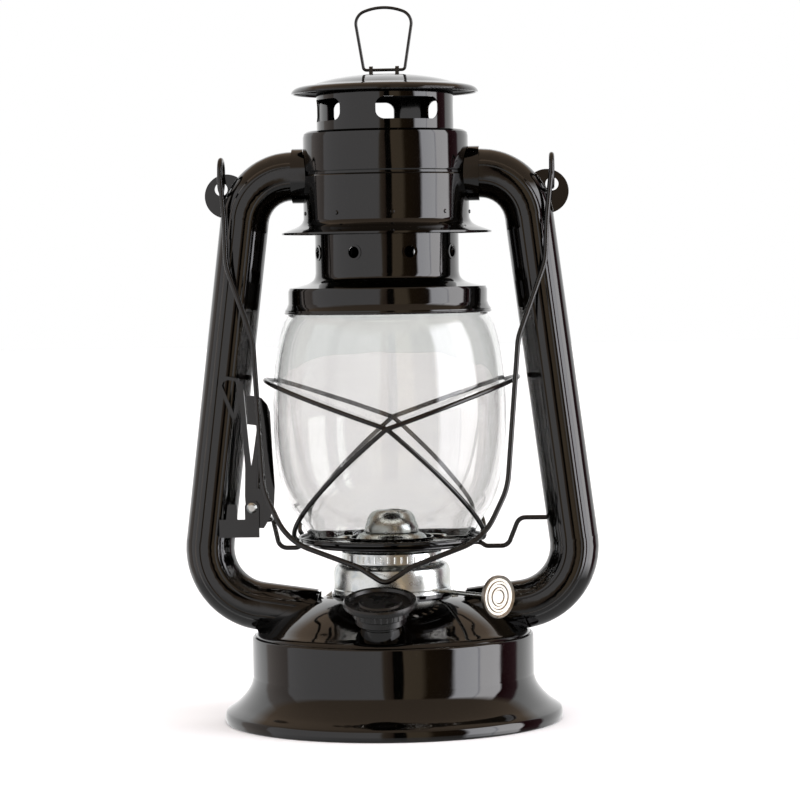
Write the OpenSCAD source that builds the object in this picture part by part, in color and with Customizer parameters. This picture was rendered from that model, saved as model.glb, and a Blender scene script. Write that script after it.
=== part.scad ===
// Hot-blast barn lantern: fuel tank, burner, glass globe, sprung chimney and carrying bail.
// Millimetres, +Z up, origin at the centre of the foot on the table.
// The side tubes stand in the XZ plane and the filler cap faces -Y.

/* [Sheet and wire] */
// Thickness of the enamelled sheet steel
sheet = 0.7; // [0.5:0.1:0.9]
// Gap between parts that slide past each other
gap = 0.35; // [0.25:0.05:0.5]
// Radius of the guard and lift wire
wire_r = 1; // [0.8:0.1:1.2]

/* [Tank] */
// Radius of the foot where it stands
foot_r = 71.2; // [69:0.2:74]
// Radius of the upright tank wall
tank_r = 59.5; // [58:0.5:60]
// Height of the crimped edge between wall and dome
tank_h = 36.5; // [34:0.5:38]
// Height of the tank floor above the table
tank_floor_z = 18.5; // [18:0.5:24]

/* [Filler] */
// Lean of the filler towards the front, in degrees
filler_lean = 15; // [10:1:20]
// Radius of the filler neck
filler_r = 8; // [7:0.25:8.25]

/* [Burner] */
// Turn of the wick shaft from +X, in degrees
shaft_turn = -44; // [-50:1:-40]
// Height of the wick shaft
shaft_z = 55.2; // [55:0.2:56.4]
// Radius of the wick shaft
shaft_r = 0.95; // [0.8:0.05:1.1]
// Width of the flat wick
wick_w = 12.7; // [11:0.1:13.5]

/* [Side tubes] */
// Radius of the round tube
tube_r = 10.3; // [9.5:0.1:10.4]
// Height at which the tubes leave the canopy
tube_top_z = 230; // [228:0.5:231]
// Centreline radius of the upper bend
upper_bend = 20.5; // [19:0.5:22]
// Centreline radius of the lower bend
lower_bend = 25; // [23:0.5:26]

/* [Globe and guard] */
// Wall of the glass globe
glass = 2; // [1.6:0.1:2.4]
// Radius of the globe plate
plate_r = 39.3; // [39:0.1:40]
// Travel of the globe when the lever lifts it
globe_lift = 10; // [6:1:10]

/* [Chimney] */
// Radius of the chimney tube
chimney_r = 28.8; // [28:0.1:29]
// Radius of the crown's upper cylinder
crown_r = 30.3; // [30.2:0.1:30.6]

/* [Bail] */
// Radius of the bail wire
bail_r = 1.1; // [0.9:0.1:1.2]
// Lean of the hanging bail towards the front, in degrees
bail_lean = 12; // [11:1:14]

/* [Hidden] */
$fn = 96;
eps = 0.01;
// A straight run enters its neighbouring bend by lap, and is thinner there by slip
lap = 0.06;
slip = 0.004;
tube_slip = 0.05;
enamel = [0.07, 0.065, 0.065];
zinc = [0.72, 0.74, 0.72];

// Filler neck
filler_foot = [-1.5, -46.8, 40.1];
filler_top = 12.4;
cap_h = 16.3;

// Wick and its drive
wick_t = 2;
wick_gap = 0.35;
wick_tube_wall = 0.7;
wheel_r = 4;
wheel_x = 3.5;
shaft_y = wick_t / 2 + 0.15 + wheel_r;
knob_x = 59.3;
knob_r = 8.85;

// Side tubes: two bends joined by the common tangent of their centrelines
upper_c = [39.7, tube_top_z - upper_bend];
lower_c = [52.2, 73];
bend_step = lower_c - upper_c;
tube_lean = atan(-bend_step[0] / bend_step[1]) + asin((lower_bend - upper_bend) / norm(bend_step));
tube_dip = 8;
tube_wall = 0.9;
tube_in_x = 34.2;
tube_end = 23;

// Ears and bail
ear_c = [67.5, 222];
ear_r = 9.3;
ear_t = 1.2;
ear_hole = [69.8, 225];
ear_hole_r = 2.75;
bail_pivot = [ear_hole[0], 0, 230.6];
eye_w = 5.3;
eye_h = 6.7;

// Lift lever
lever_pivot = [-57.6, 91];
lever_y = -12.9;
lever_t = 1.2;
lever_pin_r = 1.2;
hook_z = 85.7;
hook_x = -50.4;
hook_y = -10.2;

// Globe plate and lift wire
plate_z = 75.6;
cross_z = 72.9;
cross_ring_r = 33;
globe_z = plate_z + sheet + 0.05;

// Chimney
crown_top = 214;
spring_turns = 6;
spring_wire = 0.6;
canopy_top = 248.5;

function unit(v) = v / norm(v);
// Smooth curve through the given points, n steps between neighbours
function curve(p, n = 5) = concat([for (i = [0 : len(p) - 2]) for (j = [0 : n - 1])
    let (t = j / n, a = p[max(i - 1, 0)], b = p[i], c = p[i + 1], d = p[min(i + 2, len(p) - 1)])
    0.5 * (2 * b + (c - a) * t + (2 * a - 5 * b + 4 * c - d) * t * t
        + (3 * b - a - 3 * c + d) * t * t * t)], [p[len(p) - 1]]);
function side(a, b) = let (d = unit(b - a)) [-d[1], d[0]];
// Point i of an outline moved t to its left, mitred at the corners
function moved(p, i, t) = let (n = len(p),
    s1 = side(p[max(i - 1, 0)], p[max(i, 1)]),
    s2 = side(p[min(i, n - 2)], p[min(i + 1, n - 1)]),
    q = p[i] + (s1 + s2) * t / max(0.6, 1 + s1 * s2)) [max(q[0], 0), q[1]];
function thick(p, t) = concat(p, [for (i = [len(p) - 1 : -1 : 0]) moved(p, i, t)]);

// Sheet metal or glass turned about the vertical axis, from its outer outline
module turned(outline, t = sheet) {
    rotate_extrude() polygon(thick(outline, t));
}

// Rolled edge of a turned sheet
module bead(r, z, wire) {
    rotate_extrude() translate([r, z]) circle(r = wire, $fn = 24);
}

module rod(a, b, r) {
    d = b - a;
    translate(a) rotate([0, acos(d[2] / norm(d)), atan2(d[1], d[0])])
        cylinder(r = r, h = norm(d), $fn = 32);
}

// Round wire along corner points [x, z, bend radius] in the XZ plane
module bent_wire(p, r, closed = false) {
    n = len(p);
    for (i = [0 : closed ? n - 1 : n - 2])
        let (a = p[i], b = p[(i + 1) % n])
        let (u = unit([b[0] - a[0], b[1] - a[1]]),
            cut_a = (closed || i > 0) ? bend_cut(p, i) - lap : 0,
            cut_b = (closed || i < n - 2) ? bend_cut(p, (i + 1) % n) - lap : 0)
            rod([a[0] + u[0] * cut_a, 0, a[1] + u[1] * cut_a],
                [b[0] - u[0] * cut_b, 0, b[1] - u[1] * cut_b], r - slip);
    for (i = [closed ? 0 : 1 : 1 : closed ? n - 1 : n - 2]) bend(p, i, r);
}
function flat(v) = [v[0], v[1]];
function leg_in(p, i) = unit(flat(p[i]) - flat(p[(i + len(p) - 1) % len(p)]));
function leg_out(p, i) = unit(flat(p[(i + 1) % len(p)]) - flat(p[i]));
function bend_angle(p, i) = acos(min(1, leg_in(p, i) * leg_out(p, i)));
function bend_cut(p, i) = p[i][2] * tan(bend_angle(p, i) / 2);
module bend(p, i, r) {
    u = leg_in(p, i);
    v = leg_out(p, i);
    turn = bend_angle(p, i);
    left = u[0] * v[1] - u[1] * v[0] > 0;
    c = flat(p[i]) + unit(v - u) * p[i][2] / cos(turn / 2);
    from = (left ? flat(p[i]) - u * bend_cut(p, i) : flat(p[i]) + v * bend_cut(p, i)) - c;
    translate([c[0], 0, c[1]]) rotate([90, 0, 0]) rotate([0, 0, atan2(from[1], from[0])])
        rotate_extrude(angle = turn) translate([p[i][2], 0]) circle(r = r, $fn = 32);
}

// Round wire swept along any path round the vertical axis
module swept(path, r, sides = 8) {
    n = len(path);
    rings = [for (i = [0 : n - 1])
        let (t = unit(path[min(i + 1, n - 1)] - path[max(i - 1, 0)]),
            out = unit([path[i][0], path[i][1], 0]),
            a = unit(out - t * (out * t)), b = cross(t, a))
        for (k = [0 : sides - 1])
            path[i] + r * (a * cos(360 * k / sides) + b * sin(360 * k / sides))];
    polyhedron(rings, concat(
        [for (i = [0 : n - 2]) for (k = [0 : sides - 1])
            let (m = (k + 1) % sides)
            [i * sides + k, (i + 1) * sides + k, (i + 1) * sides + m, i * sides + m]],
        [[for (k = [0 : sides - 1]) k]],
        [[for (k = [sides - 1 : -1 : 0]) (n - 1) * sides + k]]));
}

// ---- Fuel tank ----

// Outer outline of foot and wall, from the rolled edge up
shell_line = concat([[foot_r, 0], [foot_r, 4.6]],
    curve([[foot_r - 1.4, 5.5], [66.2, 8.2], [62.6, 12], [60.4, 15.6], [tank_r, 18.4]], 4),
    [[tank_r, tank_h - 1.2], [tank_r - 0.5, tank_h - 0.2], [tank_r - 1.4, tank_h]]);
module tank_shell() {
    color(enamel) {
        turned(shell_line);
        bead(foot_r - 0.35, 2.6, 0.6);
    }
}

// Floor pan with its upturned flange inside the wall
module tank_floor() {
    in_r = tank_r - sheet;
    color(zinc) turned([[0, tank_floor_z], [in_r - 1, tank_floor_z], [in_r, tank_floor_z + 1],
        [in_r, tank_floor_z + 5]]);
}

dome_line = concat(curve([[tank_r - 1.4, tank_h + 0.05], [57, 38], [53.5, 39.8], [47, 43.8],
    [40, 47.7], [33, 50.8], [28, 52.2]], 3), [[25.4, 52.6], [25.4, 53.9], [22.4, 53.9]]);
module dome_solid(rise = 0) {
    rotate_extrude() polygon(concat([[0, 10]], [[tank_r - 1.4, 10]],
        [for (p = dome_line) [p[0], p[1] + rise]], [[0, 53.9 + rise]]));
}
module along_filler() {
    translate(filler_foot) rotate([filler_lean, 0, 0]) children();
}
module tank_dome() {
    color(enamel) difference() {
        turned(dome_line);
        along_filler() translate([0, 0, -12]) cylinder(r = filler_r + 0.5, h = 30);
    }
}

// ---- Filler ----

module filler_neck() {
    color(enamel) along_filler() difference() {
        union() {
            translate([0, 0, -7]) cylinder(r = filler_r + 0.5, h = 12);
            cylinder(r = filler_r, h = filler_top);
        }
        translate([0, 0, -8]) cylinder(r = filler_r - 0.8, h = filler_top + 10);
    }
}
module filler_gasket() {
    color([0.12, 0.1, 0.09]) along_filler() translate([0, 0, filler_top + 0.1])
        rotate_extrude() translate([5, 0]) square([3.4, 1]);
}
module filler_cap() {
    grips = 30;
    color([0.05, 0.05, 0.05]) along_filler() difference() {
        rotate_extrude() polygon([[0, 13.55], [8.5, 13.55], [8.7, 13.2], [8.7, 6.5], [10, 6.5],
            [10.5, 7], [10.5, 9.4], [11, 9.9], [11.6, 10.1], [11.6, 12.8], [13.4, 13.2],
            [14.9, 13.7], [15.2, 14.3], [15.2, 15.6], [14.7, cap_h], [12.9, cap_h],
            [12.2, 15.2], [9.2, 15], [8.6, 15.7], [0, 15.7]]);
        for (i = [0 : grips - 1]) rotate([0, 0, i * 360 / grips])
            translate([11.9, 0, 10]) cylinder(r = 0.5, h = 2.6, $fn = 24);
    }
}

// ---- Burner ----

module along_shaft() {
    rotate([0, 0, shaft_turn]) translate([0, shaft_y, shaft_z]) rotate([0, 90, 0]) children();
}
module shaft_bore() {
    along_shaft() cylinder(r = shaft_r + 0.05, h = 40);
}
module burner_collar() {
    color(zinc) difference() {
        rotate_extrude() polygon([[19.6, 47], [21.9, 47], [21.9, 53.95], [24.6, 53.95],
            [24.6, 54.7], [20.4, 54.7], [20.4, 48], [19.6, 48]]);
        shaft_bore();
    }
}
// Sheet hooks that hold the burner's foot
module burner_clips() {
    color(enamel) for (a = [4, 184]) rotate([0, 0, a]) translate([25.6, -2.6, 52.65])
        difference() {
            cube([2.4, 5.2, 3.5]);
            translate([-1, -1, 2.7]) rotate([0, 35, 0]) cube([6, 8, 4]);
        }
}
burner_line = concat([[24.9, 54.75], [24.9, 55.6], [24.6, 56], [24.6, 62.6]],
    curve([[24.3, 64.4], [23.2, 65.9], [21.6, 66.6]], 3), [[20.6, 66.8]]);
module burner_body() {
    color(zinc) difference() {
        turned(burner_line, 0.6);
        shaft_bore();
    }
}
module burner_gallery() {
    slots = 48;
    color(zinc) difference() {
        turned([[21.1, 66.9], [21.1, 71.2], [20.4, 71.9], [11, 72.6], [11, 73.2]], 0.6);
        for (i = [0 : slots - 1]) rotate([0, 0, i * 360 / slots])
            translate([21.4, 0, 67.5]) cylinder(r = 0.55, h = 2.8, $fn = 24);
    }
}
module burner_deflector() {
    color(zinc) turned(concat([[15.7, 73], [15.7, 76]], curve([[15.4, 77.4], [13.8, 79.1],
        [11.9, 79.9]], 3), [[9.6, 80.2]]), 0.5);
}
module burner_cone() {
    color(zinc) difference() {
        turned(curve([[11.5, 80.3], [11.3, 82.6], [9.6, 85.9], [5.8, 88.2], [0, 89]], 4), 0.5);
        rotate([0, 0, shaft_turn]) translate([-7.3, -2.6, 84.5]) cube([14.6, 5.2, 6]);
    }
}
module wick_tube() {
    hollow_w = wick_w + 2 * wick_gap;
    hollow_t = wick_t + 2 * wick_gap;
    w = hollow_w + 2 * wick_tube_wall;
    t = hollow_t + 2 * wick_tube_wall;
    color(zinc) rotate([0, 0, shaft_turn]) difference() {
        translate([-w / 2, -t / 2, 46]) cube([w, t, 40]);
        translate([-hollow_w / 2, -hollow_t / 2, 45]) cube([hollow_w, hollow_t, 42]);
        for (x = [-wheel_x, wheel_x]) translate([x - 1, 0, shaft_z - wheel_r - 0.5])
            cube([2, t, 2 * wheel_r + 1]);
    }
}
module wick() {
    color([0.86, 0.83, 0.76]) rotate([0, 0, shaft_turn])
        translate([-wick_w / 2, -wick_t / 2, 30]) cube([wick_w, wick_t, 58]);
}
module wick_shaft() {
    color(zinc) along_shaft() translate([0, 0, -8]) cylinder(r = shaft_r, h = knob_x + 8);
}
module wick_star_wheels() {
    teeth = 12;
    color(zinc) for (x = [-wheel_x, wheel_x]) along_shaft() translate([0, 0, x - 0.5])
        difference() {
            cylinder(r = wheel_r, h = 1);
            translate([0, 0, -1]) cylinder(r = shaft_r, h = 3);
            for (i = [0 : teeth - 1]) rotate([0, 0, i * 360 / teeth])
                translate([wheel_r, 0, -1]) cylinder(r = 0.65, h = 3, $fn = 24);
        }
}
// Pressed dish with raised rings and a hub on the shaft
module wick_knob() {
    color([0.85, 0.84, 0.8]) along_shaft() translate([0, 0, knob_x]) rotate_extrude()
        polygon([[0, -eps], [2.2, -eps], [2.2, -3], [shaft_r, -3], [shaft_r, -4.5], [3, -4.5],
            [3, -0.8], [8.2, -0.9], [8.6, -1.2], [knob_r, -0.9], [knob_r, 0.5], [8.5, 0.8],
            [8.1, 0.5], [7.6, 0.1], [6.6, 0.1], [6.2, 0.55], [5.4, 0.55], [5, 0.1], [4.1, 0.1],
            [3.7, 0.55], [3, 0.55], [2.6, 0.1], [0, 0.1]]);
}

// ---- Side tubes ----

module pipe_section() {
    difference() {
        circle(r = tube_r - $slip);
        circle(r = tube_r - tube_wall + $slip);
    }
}
module full_section(extra) {
    circle(r = tube_r + extra - $slip);
}
// The right-hand tube's run: out of the canopy, down, and in over the dome
module tube_run(end_len = tube_end) {
    $slip = 0;
    end_turn = 90 + tube_lean - tube_dip;
    reach = [cos(tube_lean), sin(tube_lean)];
    run_a = upper_c + upper_bend * reach;
    run_b = lower_c + lower_bend * reach;
    translate([upper_c[0], 0, upper_c[1]]) rotate([90, 0, 0]) rotate([0, 0, tube_lean])
        rotate_extrude(angle = 90 - tube_lean) translate([upper_bend, 0]) children();
    translate([lower_c[0], 0, lower_c[1]]) rotate([90, 0, 0])
        rotate([0, 0, tube_lean - end_turn])
        rotate_extrude(angle = end_turn) translate([lower_bend, 0]) children();
    let ($slip = tube_slip) {
        translate([tube_in_x, 0, tube_top_z]) rotate([90, 0, 90])
            linear_extrude(upper_c[0] - tube_in_x + lap) children();
        translate([run_b[0], 0, run_b[1]]) rotate([0, -atan(bend_lean(run_a, run_b)), 0])
            translate([0, 0, -lap]) linear_extrude(norm(run_a - run_b) + 2 * lap) children();
        along_end() translate([0, 0, -lap]) linear_extrude(end_len + lap) children();
    }
}
module along_end() {
    translate([lower_c[0] + lower_bend * sin(tube_dip), 0, lower_c[1] - lower_bend * cos(tube_dip)])
        rotate([0, -90 - tube_dip, 0]) children();
}
// Disc that closes the tube's end over the dome
module end_plug() {
    along_end() translate([0, 0, tube_end - 1.4]) cylinder(r = tube_r - tube_wall / 2, h = 0.9);
}
function bend_lean(a, b) = (b[0] - a[0]) / (a[1] - b[1]);
module right_tube() {
    difference() {
        union() {
            tube_run() pipe_section();
            end_plug();
        }
        dome_solid();
        translate([60, -1.4, 83]) cube([8, 2.8, 4 + globe_lift]);
    }
}
module left_air_tube() {
    color(enamel) mirror([1, 0, 0]) difference() {
        union() {
            tube_run() pipe_section();
            end_plug();
        }
        dome_solid();
    }
}
module right_air_tube() {
    color(enamel) right_tube();
}
// Crimped strip that follows the dome round the end of the tube
module tube_collar() {
    difference() {
        intersection() {
            tube_run(tube_end + 1) full_section(1.3);
            dome_solid(2.4);
            translate([28, -20, 20]) cube([29, 40, 45]);
        }
        dome_solid();
        tube_run(tube_end + 10) full_section(0.03);
    }
}
module left_tube_collar() {
    color(enamel) mirror([1, 0, 0]) tube_collar();
}
module right_tube_collar() {
    color(enamel) tube_collar();
}
// Ring that closes the joint between tube and canopy
module tube_ferrule() {
    difference() {
        translate([30, 0, tube_top_z]) rotate([0, 90, 0]) cylinder(r = tube_r + 1.2, h = 9.4);
        translate([20, 0, tube_top_z]) rotate([0, 90, 0]) cylinder(r = tube_r + 0.03, h = 30);
        cylinder(r = 35.02, h = 400);
    }
}
module left_tube_ferrule() {
    color(enamel) mirror([1, 0, 0]) tube_ferrule();
}
module right_tube_ferrule() {
    color(enamel) tube_ferrule();
}

// ---- Canopy ----

canopy_line = concat([[44.2, 205.2]], curve([[44.3, 206], [41.5, 207.1], [38, 208.4],
    [35.9, 209.8], [35, 211.6]], 3), [[35, 229.6], [34.3, 230.3], [34.3, 231.2],
    [34.8, 232], [34.8, 245.8]], curve([[34.4, 247.4], [33.2, 248.3], [31.6, canopy_top]], 3),
    [[chimney_r + gap, canopy_top]]);
module canopy() {
    color(enamel) difference() {
        turned(canopy_line);
        for (a = [0, 180]) rotate([0, 0, a]) translate([20, 0, tube_top_z])
            rotate([0, 90, 0]) cylinder(r = tube_r + 0.03, h = 30);
    }
}
module canopy_rivets() {
    color(enamel) for (i = [0 : 8]) rotate([0, 0, -122 + i * 40])
        translate([35, 0, 214]) rotate([0, 90, 0]) cylinder(r1 = 0.9, r2 = 0.55, h = 0.5);
}

// ---- Ears and bail ----

module ear() {
    difference() {
        translate([ear_c[0], ear_t / 2, ear_c[1]]) rotate([90, 0, 0])
            cylinder(r = ear_r, h = ear_t);
        translate([ear_hole[0], ear_t, ear_hole[1]]) rotate([90, 0, 0])
            cylinder(r = ear_hole_r, h = 2 * ear_t);
        tube_run() full_section(0.02);
    }
}
module left_ear() {
    color(enamel) mirror([1, 0, 0]) ear();
}
module right_ear() {
    color(enamel) ear();
}
// Half of the bail in its own plane, [x, height below the pivot, bend radius]
bail_line = [[69.8, 0, 0], [67.7, -20, 30], [66.8, -39.8, 25], [55.3, -72.2, 25],
    [50.5, -135, 30], [40.5, -156, 24], [11, -167.2, 8], [0, -174.4, 5]];
bail_path = concat(bail_line, [for (i = [len(bail_line) - 2 : -1 : 0])
    [-bail_line[i][0], bail_line[i][1], bail_line[i][2]]]);
module bail() {
    eye = [[eye_w, eye_h, 5], [-eye_w, eye_h, 5], [-eye_w, -eye_h, 5], [eye_w, -eye_h, 5]];
    color(enamel) translate([0, 0, bail_pivot[2]]) rotate([-bail_lean, 0, 0]) {
        translate([0, -eye_w, 0]) bent_wire(bail_path, bail_r);
        for (x = [-bail_pivot[0], bail_pivot[0]])
            translate([x, 0, 0]) rotate([0, 0, 90]) bent_wire(eye, bail_r, true);
    }
}

// ---- Globe lift ----

// Angle bracket on the left tube that carries the lever's pivot
module lever_bracket() {
    front = lever_y - 0.3;
    arm = [[-70.5, 78.6], [-54.6, 78.6], [-54.6, 92], [-55.8, 93.8], [-59.4, 93.8],
        [-60.6, 92], [-60.6, 86.2], [-63.8, 86.2], [-63.8, 92.6], [-67.8, 92.6],
        [-68.6, 86.2], [-70.5, 86.2]];
    color(enamel) difference() {
        union() {
            translate([0, front, 0]) rotate([90, 0, 0]) linear_extrude(1) polygon(arm);
            translate([-71.5, front - 1, 78.6]) cube([1.2, 10, 7.6]);
            translate([-71.5, front + 4, 78.6]) cube([1.2, 5, 14]);
        }
        translate([lever_pivot[0], 0, lever_pivot[1]]) rotate([90, 0, 0])
            cylinder(r = lever_pin_r, h = 30);
        mirror([1, 0, 0]) tube_run() full_section(0.02);
    }
}
module lever_rivet() {
    color(zinc) translate([lever_pivot[0], 0, lever_pivot[1]]) rotate([90, 0, 0]) {
        translate([0, 0, 11.5 - 0.1]) cylinder(r = lever_pin_r, h = 3);
        translate([0, 0, 14.2]) cylinder(r1 = 2.2, r2 = 1.4, h = 0.8);
    }
}
// Wide blade and narrow strip side by side, joined at the pivot
lever_outline = [[-60.2, 88], [-59, 86.4], [-56, 82.4], [-52.8, 82.4], [-50, 86.9],
    [-48.4, 91.6], [-47.9, 99.8], [-48.6, 112], [-49.4, 131], [-50.6, 134.4], [-53, 137.2],
    [-57, 138.2], [-59, 138.2], [-59.1, 126.2], [-54.9, 125.6], [-57, 112], [-57.7, 108.5],
    [-58.5, 116.5], [-59.4, 127], [-60.2, 138], [-60.6, 144.2], [-62.6, 144.2], [-61.8, 130],
    [-60.8, 117], [-60.3, 108], [-60.6, 96]];
thumb_loop = [[-71, 142.6], [-70.2, 145.2], [-67.4, 146.4], [-63.4, 145.6], [-61.6, 144],
    [-61.7, 138], [-63.6, 129], [-64.8, 127.8], [-65.8, 129.2]];
thumb_hole = [[-69.5, 142.5], [-68.9, 144], [-67.1, 144.9], [-64, 144.3], [-63.1, 143],
    [-63.2, 138], [-64.7, 131]];
module lift_lever() {
    peg = [lever_pivot[0] + 3.3, hook_z - wire_r - 1.1];
    color(enamel) {
        difference() {
            translate([0, lever_y + lever_t, 0]) rotate([90, 0, 0]) linear_extrude(lever_t) {
                polygon(lever_outline);
                difference() {
                    polygon(thumb_loop);
                    polygon(thumb_hole);
                }
            }
            translate([lever_pivot[0], 0, lever_pivot[1]]) rotate([90, 0, 0])
                cylinder(r = lever_pin_r + 0.06, h = 30);
        }
        rod([-53.4, lever_y - 0.2, 123], [-55, lever_y - 0.2, 99], 0.7);
        translate([peg[0], -8.4, peg[1]]) rotate([90, 0, 0])
            cylinder(r = 0.8, h = -lever_y - lever_t - 8.4 + eps, $fn = 32);
    }
}
module lift_wire() {
    z = plate_z - wire_r;
    color(enamel) {
        bead(cross_ring_r, z, wire_r);
        bent_wire([[cross_ring_r, z, 0], [37.5, z, 3], [40, cross_z, 3], [49.2, cross_z, 4],
            [54, 84.8, 4], [67.6, 84.8, 0]], wire_r);
        bent_wire([[-cross_ring_r, z, 0], [-37.5, z, 3], [-40, cross_z, 3], [-47.6, cross_z, 4],
            [hook_x, hook_z, 0]], wire_r);
        translate([hook_x, 0, hook_z]) sphere(r = wire_r, $fn = 32);
        translate([0, 0, hook_z]) rotate([-90, 0, 0])
            bent_wire([[hook_x, 0, 0], [hook_x, hook_y, 2.5], [-57.8, hook_y, 0]], wire_r);
    }
}

// ---- Globe and guard ----

module globe_plate() {
    holes = 24;
    color(enamel) {
        difference() {
            turned([[17, 78.4], [17, plate_z], [plate_r - 0.8, plate_z], [plate_r, plate_z + 0.8],
                [plate_r, 77.4]], sheet);
            for (i = [0 : holes - 1]) rotate([0, 0, (i + 0.5) * 360 / holes])
                translate([25, 0, plate_z - 1]) cylinder(r = 1.6, h = 3);
        }
        bead(plate_r - 0.35, 77.5, 0.6);
    }
}

globe_line = concat(curve([[34.6, globe_z], [35.6, 79.5], [38.6, 84.8], [43, 91.5],
    [46.2, 100], [48.2, 110.5], [49.2, 123], [49.2, 136], [48.2, 149], [46.6, 159.5],
    [44.2, 167.5], [41.7, 172.4]], 3), [[41.6, 174.4]]);
module globe() {
    color([0.85, 0.88, 0.87, 0.35]) turned(globe_line, glass);
}

// A guard wire starts at the plate's rim, crosses in front, passes the side and comes round
hoop_low = 77.7;
hoop_cross = 125.5;
hoop_peak = 144.3;
hoop_foot = 67;
hoop_twist = 2.5;
function hoop_r(a, top_r) = let (m = a < 0 ? -a : a > 180 ? a - 180 : 0)
    plate_r + 0.2 + (top_r - plate_r - 0.2) * sqrt(cos(m * 88 / hoop_foot));
function hoop_z(a) = let (m = a < 0 ? -a : a > 180 ? a - 180 : 0, s = sin(m) / sin(hoop_foot))
    m > 0 ? hoop_cross - (hoop_cross - hoop_low) * (0.87 * s + 0.13 * s * s)
    : hoop_cross + (hoop_peak - hoop_cross) * sin(a);
function hoop(top_r, turn) = [for (i = [0 : 62]) let (a = -hoop_foot + i * (180 + 2 * hoop_foot) / 62,
    r = hoop_r(a, top_r)) [-turn * r * sin(a), -r * cos(a), hoop_z(a)]];
module inner_guard_wire() {
    color(enamel) rotate([0, 0, hoop_twist]) swept(hoop(52.2, 1), wire_r);
}
module outer_guard_wire() {
    color(enamel) rotate([0, 0, hoop_twist]) swept(hoop(54.5, -1), wire_r);
}

// ---- Chimney ----

crown_line = concat([[43.4, 172]], curve([[43.5, 173.4], [42.6, 174.8], [42, 176.4]], 3),
    [[42, 181.4]], curve([[41.4, 182.8], [37.5, 183.6], [33.2, 184.8], [30.9, 186.6],
    [crown_r, 189]], 3), [[crown_r, 212.6], [32.6, 213.2]]);
module crown() {
    holes = 8;
    vent_r = 2.45;
    color(enamel) difference() {
        union() {
            turned(crown_line);
            bead(43.1, 172.4, 0.6);
            for (i = [0 : holes - 1]) rotate([0, 0, -158 + i * 45])
                translate([crown_r - 0.5, 0, 197.5]) rotate([0, 90, 0])
                cylinder(r = vent_r + 0.9, h = 0.75);
        }
        for (i = [0 : holes - 1]) rotate([0, 0, -158 + i * 45])
            translate([20, 0, 197.5]) rotate([0, 90, 0]) cylinder(r = vent_r, h = 20);
    }
}
module chimney_tube() {
    window_w = 27.6;
    low = 252.4;
    high = 261.6;
    corner = 3.4;
    color(enamel) difference() {
        union() {
            turned([[chimney_r, 203], [chimney_r, 266.4]]);
            rotate_extrude() translate([chimney_r - 0.3, 206])
                square([crown_r - sheet - chimney_r + 0.3, 4]);
        }
        for (i = [0 : 3]) rotate([0, 0, 25 - 90 + i * 90]) rotate([90, 0, 90])
            linear_extrude(40) {
                translate([-window_w / 2 + corner, low]) square([window_w - 2 * corner, high - low]);
                translate([-window_w / 2, low + corner]) square([window_w, high - low - 2 * corner]);
                for (s = [-1, 1], z = [low + corner, high - corner])
                    translate([s * (window_w / 2 - corner), z]) circle(r = corner);
            }
    }
}
cap_line = concat([[39, 264.2]], curve([[39.1, 265.2], [38.2, 266.2], [36, 267.1],
    [31.5, 267.7]], 3), curve([[29.5, 268.4], [24, 269.9], [16, 271.3], [8, 272],
    [0, 272.3]], 3));
module chimney_cap() {
    color(enamel) {
        turned(cap_line);
        bead(38.8, 264.6, 0.55);
    }
}
lug_x = 5.5;
ring_z = 274;
ring_r = 0.65;
module ring_lugs() {
    color(enamel) for (x = [-lug_x, lug_x]) translate([x - 0.8, 0, 0]) difference() {
        union() {
            translate([0, -1.6, 272.2]) cube([1.6, 3.2, ring_z - 272.2]);
            translate([0, 0, ring_z]) rotate([0, 90, 0]) cylinder(r = 1.6, h = 1.6);
        }
        translate([-1, 0, ring_z]) rotate([0, 90, 0]) cylinder(r = ring_r + 0.06, h = 4);
    }
}
module lift_ring() {
    half = [[8.6, ring_z, 1.4], [12.3, 297, 5.5], [0, 301.6, 22]];
    color(enamel) bent_wire([half[0], half[1], half[2], [-half[1][0], half[1][1], half[1][2]],
        [-half[0][0], half[0][1], half[0][2]]], ring_r, true);
}
module chimney_spring() {
    low = 213.3 + spring_wire;
    high = canopy_top - sheet - spring_wire - 0.1;
    steps = spring_turns * 24;
    color(zinc) swept([for (i = [0 : steps]) let (a = i * 15)
        [31.6 * cos(a), 31.6 * sin(a), low + (high - low) * i / steps]], spring_wire, 6);
}

tank_shell();
tank_floor();
tank_dome();
filler_neck();
filler_gasket();
filler_cap();
burner_collar();
burner_clips();
burner_body();
burner_gallery();
burner_deflector();
burner_cone();
wick_tube();
wick();
wick_shaft();
wick_star_wheels();
wick_knob();
left_air_tube();
right_air_tube();
left_tube_collar();
right_tube_collar();
left_tube_ferrule();
right_tube_ferrule();
canopy();
canopy_rivets();
left_ear();
right_ear();
bail();
lever_bracket();
lever_rivet();
lift_lever();
lift_wire();
globe_plate();
inner_guard_wire();
outer_guard_wire();
globe();
crown();
chimney_tube();
chimney_cap();
ring_lugs();
lift_ring();
chimney_spring();
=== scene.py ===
from math import cos, pi, radians, sin, sqrt

import bpy
from mathutils import Matrix, Quaternion, Vector


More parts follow.
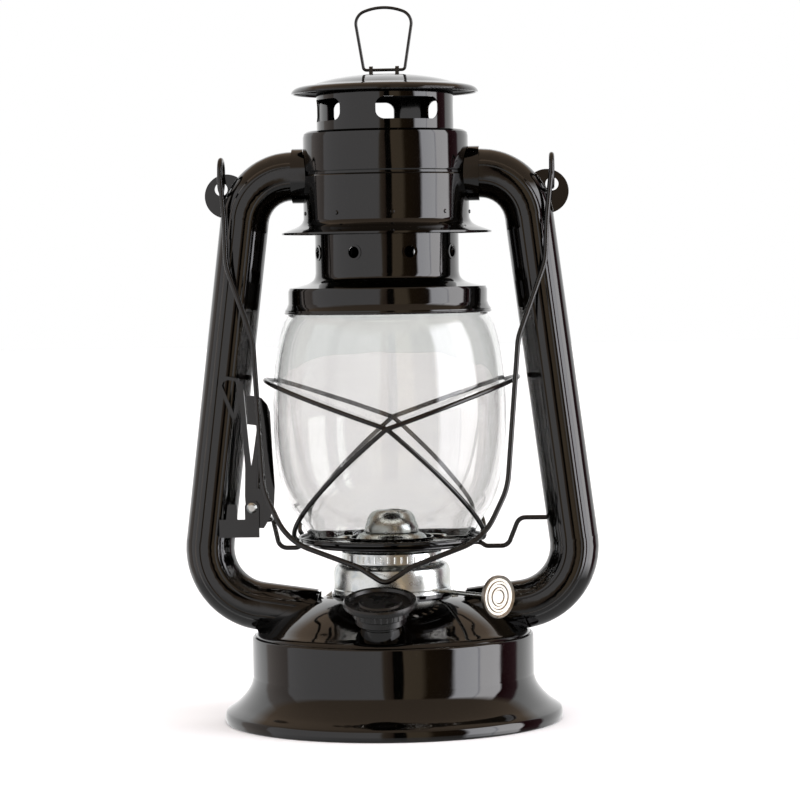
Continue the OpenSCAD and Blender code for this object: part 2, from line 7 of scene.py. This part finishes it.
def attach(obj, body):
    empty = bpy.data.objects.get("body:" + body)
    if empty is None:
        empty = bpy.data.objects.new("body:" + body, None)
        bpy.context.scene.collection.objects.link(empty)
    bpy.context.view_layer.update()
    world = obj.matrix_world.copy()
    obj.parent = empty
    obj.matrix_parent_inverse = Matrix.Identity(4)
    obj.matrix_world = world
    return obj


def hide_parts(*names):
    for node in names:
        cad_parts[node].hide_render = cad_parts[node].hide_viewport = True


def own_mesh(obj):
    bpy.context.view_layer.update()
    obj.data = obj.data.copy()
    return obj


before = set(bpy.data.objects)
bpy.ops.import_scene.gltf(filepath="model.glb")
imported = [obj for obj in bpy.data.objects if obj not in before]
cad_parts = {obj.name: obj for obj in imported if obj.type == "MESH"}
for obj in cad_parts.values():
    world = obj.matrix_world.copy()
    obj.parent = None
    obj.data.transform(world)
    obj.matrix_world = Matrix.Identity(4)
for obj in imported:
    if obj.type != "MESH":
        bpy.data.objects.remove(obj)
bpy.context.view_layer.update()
mm = 0.001

# ---- Fuel tank ----
# The drum and its dome are pressed from sheet steel, crimped together at the shoulder and
# dipped in stoving enamel, which flows out to a wet black gloss before it is baked.


def linear(code):
    """An sRGB hex colour as a linear one."""
    parts = [int(code[i:i + 2], 16) / 255 for i in (1, 3, 5)]
    return [c / 12.92 if c <= 0.04045 else ((c + 0.055) / 1.055) ** 2.4 for c in parts] + [1]


def add(tree, kind, inputs=None, stops=None, **settings):
    """Adds a node with its settings, its inputs set or linked, and a ramp's stops."""
    made = tree.nodes.new(kind if "Node" in kind else "ShaderNode" + kind)
    for name, value in settings.items():
        setattr(made, name, value)
    for name, value in (inputs or {}).items():
        if isinstance(value, bpy.types.NodeSocket):
            tree.links.new(value, made.inputs[name])
        else:
            made.inputs[name].default_value = value
    if stops:
        elements = made.color_ramp.elements
        while len(elements) < len(stops):
            elements.new(1)
        for element, (place, colour) in zip(elements, stops):
            element.position = place
            element.color = linear(colour) if isinstance(colour, str) else [colour] * 3 + [1]
    return made


def finish(name, **fixed):
    """A new material's node tree and its surface, with the values that are the same all over."""
    made = bpy.data.materials.new(name)
    made.use_nodes = True
    surface = made.node_tree.nodes["Principled BSDF"]
    for socket, value in fixed.items():
        surface.inputs[socket.replace("_", " ")].default_value = value
    where = add(made.node_tree, "TexCoord").outputs["Object"]
    return made, made.node_tree, surface, where


def paint(material, *nodes):
    """Gives CAD nodes their finish."""
    for name in nodes:
        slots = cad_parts[name].data.materials
        slots.clear()
        slots.append(material)


def sheet_of(name, rings, closed, material, body, material_slot, *nodes):
    """A smooth skin over rings of points in mm, in place of CAD nodes."""
    count = len(rings[0])
    points = [Vector(p) * mm for ring in rings for p in ring]
    rows = len(rings) if closed else len(rings) - 1
    faces = [(i * count + k, (i + 1) % len(rings) * count + k,
              (i + 1) % len(rings) * count + (k + 1) % count, i * count + (k + 1) % count)
             for i in range(rows) for k in range(count)]
    if not closed:
        faces += [tuple(range(count)),
                  tuple(range(len(points) - 1, len(points) - 1 - count, -1))]
    mesh = bpy.data.meshes.new(name)
    mesh.from_pydata(points, [], faces)
    mesh.shade_smooth()
    mesh.materials.append(material)
    piece = bpy.data.objects.new(name, mesh)
    bpy.context.scene.collection.objects.link(piece)
    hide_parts(*nodes)
    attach(piece, body)
    return piece


def flow(points, steps=12):
    """A smooth line through points in mm."""
    points = [Vector(p) for p in points]
    line = []
    for i, (b, c) in enumerate(zip(points, points[1:])):
        a, d = points[max(i - 1, 0)], points[min(i + 2, len(points) - 1)]
        for t in (k / steps for k in range(steps)):
            line.append(0.5 * (2 * b + (c - a) * t + (2 * a - 5 * b + 4 * c - d) * t ** 2
                               + (3 * b - a - 3 * c + d) * t ** 3))
    return line + [points[-1]]


def turned(name, outer, wall, material, body, material_slot, node):
    """A wall turned about the upright axis from its outer line [radius, height] in mm."""
    inner = []
    for i, point in enumerate(outer):
        along = (outer[min(i + 1, len(outer) - 1)] - outer[max(i - 1, 0)]).normalized()
        inner.append(point + Vector((-along.y, along.x)) * wall)
    loop = outer + inner[::-1]
    sides = 192
    rings = [[(p.x * cos(2 * pi * i / sides), p.x * sin(2 * pi * i / sides), p.y) for p in loop]
             for i in range(sides)]
    return sheet_of(name, rings, True, material, body, material_slot, node)


# The press rounds every fold a little: faces that meet at less than this angle shade as one
fold_limit = radians(32)
rounded = bpy.data.node_groups.new("rounded_folds", "GeometryNodeTree")
for way in ("INPUT", "OUTPUT"):
    rounded.interface.new_socket("Geometry", in_out=way, socket_type="NodeSocketGeometry")
whole = add(rounded, "NodeGroupInput")
joined = add(rounded, "GeometryNodeMergeByDistance",
             {"Geometry": whole.outputs[0], "Distance": 0.001 * mm})
plain = add(rounded, "GeometryNodeRemoveAttribute",
            {"Geometry": joined.outputs[0], "Name": "custom_normal"})
smooth = add(rounded, "GeometryNodeSetShadeSmooth", {"Geometry": plain.outputs[0]})
fold = add(rounded, "GeometryNodeInputMeshEdgeAngle")
crisp = add(rounded, "FunctionNodeCompare", {"A": fold.outputs[0], "B": fold_limit},
            data_type="FLOAT", operation="LESS_THAN")
edged = add(rounded, "GeometryNodeSetShadeSmooth",
            {"Geometry": smooth.outputs[0], "Shade Smooth": crisp.outputs[0]}, domain="EDGE")
add(rounded, "NodeGroupOutput", {0: edged.outputs[0]})
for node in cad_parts.values():
    node.modifiers.new("rounded_folds", "NODES").node_group = rounded
    weighted = node.modifiers.new("weighted_normals", "WEIGHTED_NORMAL")
    weighted.keep_sharp = True

# Stoving enamel over pressed steel: near-black with a warm undertone. The sheet's own waves,
# 30 mm long, bend its reflections, the flow of the enamel leaves a faint 2.5 mm orange peel,
# and handling leaves duller patches and a few specks of dust.
enamel, tree, surface, where = finish("stoving_enamel_on_pressed_steel", IOR=1.5)
wave = add(tree, "TexNoise", {"Vector": where, "Scale": 1 / (30 * mm), "Detail": 1.0})
peel = add(tree, "TexNoise", {"Vector": where, "Scale": 1 / (2.5 * mm), "Detail": 1.0})
patch = add(tree, "TexNoise", {"Vector": where, "Scale": 1 / (14 * mm), "Detail": 5.0})
speck = add(tree, "TexNoise", {"Vector": where, "Scale": 1 / (0.8 * mm), "Detail": 2.0})
tint = add(tree, "ValToRGB", {"Fac": patch.outputs["Fac"]},
           stops=[(0.3, "#010101"), (0.7, "#040302")])
dust = add(tree, "ValToRGB", {"Fac": speck.outputs["Fac"]}, stops=[(0.73, 0), (0.79, 0.14)])
colour = add(tree, "Mix", {"Factor": dust.outputs["Color"], "A": tint.outputs["Color"],
                           "B": linear("#6e675e")}, data_type="RGBA")
gloss = add(tree, "MapRange", {"Value": patch.outputs["Fac"], "From Min": 0.35, "From Max": 0.75,
                               "To Min": 0.03, "To Max": 0.11})
waves = add(tree, "Bump", {"Height": wave.outputs["Fac"], "Distance": 0.25 * mm})
skin = add(tree, "Bump", {"Height": peel.outputs["Fac"], "Distance": 0.006 * mm,
                          "Normal": waves.outputs["Normal"]})
tree.links.new(colour.outputs[2], surface.inputs["Base Color"])
tree.links.new(gloss.outputs["Result"], surface.inputs["Roughness"])
tree.links.new(skin.outputs["Normal"], surface.inputs["Normal"])
paint(enamel, "tank_dome", "filler_neck")
# The foot's rolled edge, its flare up to the upright wall, and the crimp at the shoulder
foot = flow([(70.5, 0.0), (71.05, 0.35), (71.3, 1.5), (71.42, 2.6), (71.3, 3.7), (70.9, 4.7),
             (69.8, 5.6), (66.2, 8.2), (62.6, 12), (60.4, 15.6), (59.55, 18.6), (59.5, 20)], 6)
drum = foot + [Vector(p) for p in ((59.5, 28), (59.5, 35), (59.42, 35.6), (59.2, 36.1),
                                   (58.8, 36.4), (58.2, 36.5))]
sheet = 0.68
turned("drum_and_foot", drum, sheet, enamel, "lantern", "black_enamel", "tank_shell")

# ---- Tank floor ----
# The floor pan is plain zinc-plated sheet, pushed up inside the drum and soldered round its edge.

# Bright zinc plate: cool silver with cloudy, slightly yellow and blue patches of passivation and a
# soft sheen from the bath.
zinc, tree, surface, where = finish("bright_zinc_plate", Metallic=1.0)
cloud = add(tree, "TexNoise", {"Vector": where, "Scale": 1 / (9 * mm), "Detail": 4.0,
                               "Distortion": 0.6})
grain = add(tree, "TexNoise", {"Vector": where, "Scale": 1 / (0.9 * mm), "Detail": 2.0})
tint = add(tree, "ValToRGB", {"Fac": cloud.outputs["Fac"]},
           stops=[(0.3, "#aeb4b6"), (0.46, "#cfd2d1"), (0.58, "#c6c8c2"), (0.72, "#a9b2b8")])
gloss = add(tree, "MapRange", {"Value": cloud.outputs["Fac"], "From Min": 0.3, "From Max": 0.7,
                               "To Min": 0.2, "To Max": 0.34})
skin = add(tree, "Bump", {"Height": grain.outputs["Fac"], "Distance": 0.012 * mm})
tree.links.new(tint.outputs["Color"], surface.inputs["Base Color"])
tree.links.new(gloss.outputs["Result"], surface.inputs["Roughness"])
tree.links.new(skin.outputs["Normal"], surface.inputs["Normal"])
paint(zinc, "tank_floor", "burner_collar", "burner_clips", "burner_body", "burner_gallery",
      "burner_deflector", "burner_cone", "wick_tube", "wick_shaft", "wick_star_wheels",
      "lever_rivet")

# ---- Filler cap and seal ----
# A moulded screw cap with a ribbed grip, closed on a pressed cork ring.

# Black moulding resin: satin, faintly grained by the mould, greyer where fingers turn it.
resin, tree, surface, where = finish("moulded_black_resin", IOR=1.5)
patch = add(tree, "TexNoise", {"Vector": where, "Scale": 1 / (6 * mm), "Detail": 4.0})
grain = add(tree, "TexNoise", {"Vector": where, "Scale": 1 / (0.5 * mm), "Detail": 2.0})
tint = add(tree, "ValToRGB", {"Fac": patch.outputs["Fac"]},
           stops=[(0.35, "#050505"), (0.7, "#0c0b0b")])
gloss = add(tree, "MapRange", {"Value": patch.outputs["Fac"], "From Min": 0.3, "From Max": 0.7,
                               "To Min": 0.2, "To Max": 0.38})
skin = add(tree, "Bump", {"Height": grain.outputs["Fac"], "Distance": 0.015 * mm})
tree.links.new(tint.outputs["Color"], surface.inputs["Base Color"])
tree.links.new(gloss.outputs["Result"], surface.inputs["Roughness"])
tree.links.new(skin.outputs["Normal"], surface.inputs["Normal"])
paint(resin, "filler_cap")

# Pressed cork: warm brown granules about 1 mm across.
cork, tree, surface, where = finish("pressed_cork", Roughness=0.85)
granule = add(tree, "TexVoronoi", {"Vector": where, "Scale": 1 / (1 * mm)})
tint = add(tree, "ValToRGB", {"Fac": granule.outputs["Distance"]},
           stops=[(0.1, "#8a6a48"), (0.7, "#4a3626")])
skin = add(tree, "Bump", {"Height": granule.outputs["Distance"], "Distance": 0.1 * mm})
tree.links.new(tint.outputs["Color"], surface.inputs["Base Color"])
tree.links.new(skin.outputs["Normal"], surface.inputs["Normal"])
paint(cork, "filler_gasket")

# ---- Wick ----
# A flat woven cotton wick, half an inch wide.

# Woven cotton: off-white threads 0.9 mm apart, no shine.
cotton, tree, surface, where = finish("woven_cotton", Roughness=0.95, Sheen_Weight=0.2)
thread = add(tree, "TexWave", {"Vector": where, "Scale": 1 / (6 * mm), "Distortion": 1.5},
             bands_direction="Z")
tint = add(tree, "ValToRGB", {"Fac": thread.outputs["Fac"]},
           stops=[(0.1, "#b9b2a0"), (0.8, "#e4dfd2")])
skin = add(tree, "Bump", {"Height": thread.outputs["Fac"], "Distance": 0.25 * mm})
tree.links.new(tint.outputs["Color"], surface.inputs["Base Color"])
tree.links.new(skin.outputs["Normal"], surface.inputs["Normal"])
paint(cotton, "wick")

# ---- Wick knob ----
# A small dish pressed from nickel-plated sheet, riveted to the end of the wick shaft.

# Nickel plate: warm silver, gone soft and slightly uneven with handling.
nickel, tree, surface, where = finish("pressed_nickel_plate", Metallic=1.0)
patch = add(tree, "TexNoise", {"Vector": where, "Scale": 1 / (2.5 * mm), "Detail": 4.0})
tint = add(tree, "ValToRGB", {"Fac": patch.outputs["Fac"]},
           stops=[(0.3, "#88837b"), (0.7, "#aca79e")])
gloss = add(tree, "MapRange", {"Value": patch.outputs["Fac"], "From Min": 0.3, "From Max": 0.7,
                               "To Min": 0.26, "To Max": 0.42})
tree.links.new(tint.outputs["Color"], surface.inputs["Base Color"])
tree.links.new(gloss.outputs["Result"], surface.inputs["Roughness"])
paint(nickel, "wick_knob")

# ---- Side tubes, canopy and chimney ----
# The air tubes, the canopy between them and the sprung chimney are pressed from the same sheet
# and dipped with the tank, so they carry its enamel.

# The tubes' enamel lies over their pressing: each is folded from two half shells, with a seam
# along the middle of its inner and outer side, and two ribs run down its front and its back,
# 24 degrees either side of the middle.
ribbed = enamel.copy()
ribbed.name = "stoving_enamel_on_ribbed_tube"
tree = ribbed.node_tree
surface = tree.nodes["Principled BSDF"]
tube_r = 10.3 * mm
rib_height = 0.45 * mm
across = add(tree, "SeparateXYZ", {"Vector": add(tree, "TexCoord").outputs["Object"]})
share = add(tree, "Math", {0: across.outputs["Y"], 1: 1 / tube_r}, operation="MULTIPLY")
share = add(tree, "Math", {0: share.outputs[0]}, operation="ABSOLUTE")
ribs = add(tree, "ValToRGB", {"Fac": share.outputs[0]},
           stops=[(0.05, 1), (0.09, 0), (0.84, 0), (0.885, 0.9), (0.915, 1), (0.935, 0.9),
                  (0.96, 0)])
ribs.color_ramp.interpolation = "EASE"
raised = add(tree, "Bump", {"Height": ribs.outputs["Color"], "Distance": rib_height,
                            "Normal": surface.inputs["Normal"].links[0].from_socket})
tree.links.new(raised.outputs["Normal"], surface.inputs["Normal"])
paint(ribbed, "left_air_tube", "right_air_tube")
paint(enamel, "left_tube_collar", "right_tube_collar", "left_tube_ferrule",
      "right_tube_ferrule", "canopy", "canopy_rivets", "left_ear", "right_ear", "lever_bracket",
      "lift_lever", "globe_plate", "crown", "chimney_tube", "chimney_cap", "ring_lugs")

# ---- Wires ----
# Mild steel wire, bent cold and dipped in the same enamel, which goes thinner and duller on it.
wire, tree, surface, where = finish("enamelled_steel_wire", IOR=1.5)
patch = add(tree, "TexNoise", {"Vector": where, "Scale": 1 / (7 * mm), "Detail": 5.0})
peel = add(tree, "TexNoise", {"Vector": where, "Scale": 1 / (1.2 * mm), "Detail": 2.0})
tint = add(tree, "ValToRGB", {"Fac": patch.outputs["Fac"]},
           stops=[(0.35, "#030202"), (0.66, "#070605"), (0.72, "#141210")])
gloss = add(tree, "MapRange", {"Value": patch.outputs["Fac"], "From Min": 0.3, "From Max": 0.7,
                               "To Min": 0.1, "To Max": 0.3})
skin = add(tree, "Bump", {"Height": peel.outputs["Fac"], "Distance": 0.02 * mm})
tree.links.new(tint.outputs["Color"], surface.inputs["Base Color"])
tree.links.new(gloss.outputs["Result"], surface.inputs["Roughness"])
tree.links.new(skin.outputs["Normal"], surface.inputs["Normal"])
paint(wire, "bail", "lift_wire", "lift_ring")

# ---- Guard wires ----
# Two hoops of enamelled wire start at the globe plate's rim, cross in front of the globe, pass
# its sides and cross again behind it. Drawn wire, so they are smooth along their whole length.
guard_foot = 67  # degrees past the side at which a hoop comes down to the rim
plate_rim = 39.5
crossing, drop, rise = 125.5, 47.8, 18.8
wire_r = 1
steps, sides = 180, 16
twist = Matrix.Rotation(radians(2.5), 3, "Z")
for guard, reach, hand in (("inner_guard_wire", 52.2, 1), ("outer_guard_wire", 54.5, -1)):
    line = []
    for i in range(steps + 1):
        angle = -guard_foot + i * (180 + 2 * guard_foot) / steps
        past = -angle if angle < 0 else max(angle - 180, 0)
        low = sin(radians(past)) / sin(radians(guard_foot))
        out = plate_rim + (reach - plate_rim) * sqrt(cos(radians(past * 88 / guard_foot)))
        high = (crossing - drop * (0.87 * low + 0.13 * low * low) if past
                else crossing + rise * sin(radians(angle)))
        line.append(Vector((-hand * out * sin(radians(angle)), -out * cos(radians(angle)), high)))
    rings = []
    for i, point in enumerate(line):
        along = (line[min(i + 1, steps)] - line[max(i - 1, 0)]).normalized()
        out = Vector((point.x, point.y, 0)).normalized()
        out = (out - along * out.dot(along)).normalized()
        across = along.cross(out)
        rings.append([twist @ (point + (out * cos(2 * pi * k / sides)
                                        + across * sin(2 * pi * k / sides)) * wire_r)
                      for k in range(sides)])
    sheet_of("smooth_" + guard, rings, False, wire, "globe_carrier", "enamelled_wire", guard)

# ---- Chimney spring ----
# A coil of hard drawn wire between the crown's lip and the canopy's top. It hangs from the
# canopy. On the lantern it shortens as the chimney is pulled up; here it is drawn at one length,
# fixed to the lantern.

# Tempered spring steel: straw-grey, unpainted, with the blueing's uneven patches.
spring, tree, surface, where = finish("tempered_spring_steel", Metallic=1.0, Roughness=0.35)
patch = add(tree, "TexNoise", {"Vector": where, "Scale": 1 / (5 * mm), "Detail": 4.0})
tint = add(tree, "ValToRGB", {"Fac": patch.outputs["Fac"]},
           stops=[(0.3, "#5a5752"), (0.7, "#8b8780")])
tree.links.new(tint.outputs["Color"], surface.inputs["Base Color"])
turns, coil_r, coil_wire = 6, 31.6, 0.6
coil_low, coil_high = 213.9, 247.1
steps, sides = 48, 12
up = Vector((0, 0, 1))
rings = []
for i in range(turns * steps + 1):
    turn = 2 * pi * i / steps
    out = Vector((cos(turn), sin(turn), 0))
    centre = out * coil_r + up * (coil_low + (coil_high - coil_low) * i / (turns * steps))
    rings.append([centre + (out * cos(2 * pi * k / sides) + up * sin(2 * pi * k / sides))
                  * coil_wire for k in range(sides)])
coil = sheet_of("drawn_spring", rings, False, spring, "lantern", "spring_steel", "chimney_spring")
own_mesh(coil)

# ---- Globe ----
# The globe is blown soda-lime glass, cut and fire-polished at both open ends. It stands on the
# globe plate and is held down by the sprung crown.

# Clear glass with a faint grey body and the slow ripple, 22 mm long, that blowing leaves.
clear, tree, surface, where = finish("blown_soda_lime_glass", IOR=1.5, Roughness=0.0,
                                     Transmission_Weight=1.0)
seed = add(tree, "TexNoise", {"Vector": where, "Scale": 1 / (22 * mm), "Detail": 1.0})
tint = add(tree, "ValToRGB", {"Fac": seed.outputs["Fac"]},
           stops=[(0.3, "#dedfde"), (0.7, "#e1e2e1")])
skin = add(tree, "Bump", {"Height": seed.outputs["Fac"], "Distance": 0.15 * mm})
tree.links.new(tint.outputs["Color"], surface.inputs["Base Color"])
tree.links.new(skin.outputs["Normal"], surface.inputs["Normal"])
glass = 1.98
profile = [(34.6, 76.35), (35.6, 79.5), (38.6, 84.8), (43, 91.5), (46.2, 100), (48.2, 110.5),
           (49.2, 123), (49.2, 136), (48.2, 149), (46.6, 159.5), (44.2, 167.5), (41.7, 172.4),
           (41.6, 174.4)]
turned("blown_globe", flow(profile), glass, clear, "globe_carrier", "globe_glass", "globe")

# ---- Studio ----
# A pale table, a white surround behind, a tall window to the right and a broad dim panel to the
# left, with one soft light overhead.

# Matt table top: near-white, with a very faint cloudiness.
bpy.ops.mesh.primitive_plane_add(size=12, location=(0, 0, 0))
table = bpy.context.object
table.name = "table"
pale, tree, surface, where = finish("pale_matt_table", Roughness=0.9)
patch = add(tree, "TexNoise", {"Vector": where, "Scale": 4.0, "Detail": 3.0})
tint = add(tree, "ValToRGB", {"Fac": patch.outputs["Fac"]},
           stops=[(0.3, "#e8ebf2"), (0.7, "#edf0f6")])
tree.links.new(tint.outputs["Color"], surface.inputs["Base Color"])
table.data.materials.append(pale)
table.visible_glossy = False

# The room as the enamel mirrors it: [degrees round from the camera, + to the right, colour]
view_turn = 4
room = bpy.data.worlds.new("room")
room.use_nodes = True
bpy.context.scene.world = room
tree = room.node_tree
tree.nodes.clear()
brightest = 6.0
round_the_room = [(-180, (1.2, 1.2, 1.2)), (-128, (1.2, 1.2, 1.2)), (-124, (0.75, 0.68, 0.64)),
                  (-97, (0.6, 0.52, 0.48)), (-95, (1.1, 1.08, 1.1)), (-10, (1.15, 1.12, 1.12)),
                  (-8, (0.55, 0.42, 0.3)), (-1, (0.3, 0.2, 0.15)), (0, (0.01, 0.01, 0.01)),
                  (7, (0.01, 0.01, 0.01)), (8, (0.8, 0.6, 0.4)), (22, (0.75, 0.57, 0.38)),
                  (27, (0.16, 0.1, 0.05)), (48, (0.1, 0.06, 0.04)), (52, (5.4, 5.4, 5.7)),
                  (72, (5.8, 5.8, 6.0)), (73, (3.4, 3.4, 3.8)), (75, (6.0, 5.9, 6.0)),
                  (96, (5.2, 5.1, 5.2)), (98, (0.12, 0.03, 0.04)), (118, (0.2, 0.1, 0.12)),
                  (122, (1.2, 1.2, 1.2)), (180, (1.2, 1.2, 1.2))]
way = add(tree, "TexCoord").outputs["Generated"]
facing = add(tree, "VectorRotate", {"Vector": way, "Angle": radians(90 - view_turn)},
             rotation_type="Z_AXIS")
ring = add(tree, "TexGradient", {"Vector": facing.outputs["Vector"]}, gradient_type="RADIAL")
walls = add(tree, "ValToRGB", {"Fac": ring.outputs["Fac"]},
            stops=[((a + 180) / 360, 0) for a, _ in round_the_room])
for element, (_, light) in zip(walls.color_ramp.elements, round_the_room):
    element.color = [c / brightest for c in light] + [1]
up = add(tree, "SeparateXYZ", {"Vector": way}).outputs["Z"]
high = add(tree, "MapRange", {"Value": up, "From Min": 0.5, "From Max": 0.62})
ceiling = add(tree, "Mix", {"Factor": high.outputs["Result"], "A": walls.outputs["Color"],
                            "B": [0.1, 0.075, 0.055, 1]}, data_type="RGBA")
low = add(tree, "MapRange", {"Value": up, "From Min": -0.3, "From Max": -0.5})
around = add(tree, "Mix", {"Factor": low.outputs["Result"], "A": ceiling.outputs[2],
                           "B": [0.1, 0.1, 0.1, 1]}, data_type="RGBA")
lit = add(tree, "Background", {"Color": around.outputs[2], "Strength": brightest})
white = add(tree, "Background", {"Color": (1, 1, 1, 1), "Strength": 1.0})
seen = add(tree, "LightPath").outputs["Is Camera Ray"]
both = add(tree, "MixShader", {0: seen, 1: lit.outputs[0], 2: white.outputs[0]})
add(tree, "OutputWorld", {"Surface": both.outputs[0]})

# The overhead light fills the table evenly, and no polished surface mirrors it
lamp = bpy.data.lights.new("overhead_light", "SUN")
lamp.energy = 2.6
lamp.angle = radians(70)
overhead = bpy.data.objects.new("overhead_light", lamp)
overhead.location = (0, 0, 1.6)
overhead.visible_glossy = False
overhead.visible_camera = False
bpy.context.scene.collection.objects.link(overhead)

# The camera stands level with the globe's shoulder, tipped down and rolled a little
lens = bpy.data.cameras.new("camera")
lens.sensor_width = 36
lens.lens = 142.9
camera = bpy.data.objects.new("camera", lens)
distance = 1340 * mm
eye_height = 192.8 * mm
camera.location = (distance * sin(radians(view_turn)), -distance * cos(radians(view_turn)),
                   eye_height)
turn = radians(view_turn - 0.191)
tip = radians(-2.47)
roll = radians(-0.9)
look = Vector((-sin(turn) * cos(tip), cos(turn) * cos(tip), sin(tip)))
camera.rotation_mode = "QUATERNION"
camera.rotation_quaternion = (look.to_track_quat("-Z", "Y")
                              @ Quaternion((0, 0, 1), roll))
lens.clip_start, lens.clip_end = 0.05, 50
bpy.context.scene.collection.objects.link(camera)
bpy.context.scene.camera = camera
bpy.context.scene.view_settings.view_transform = "Standard"
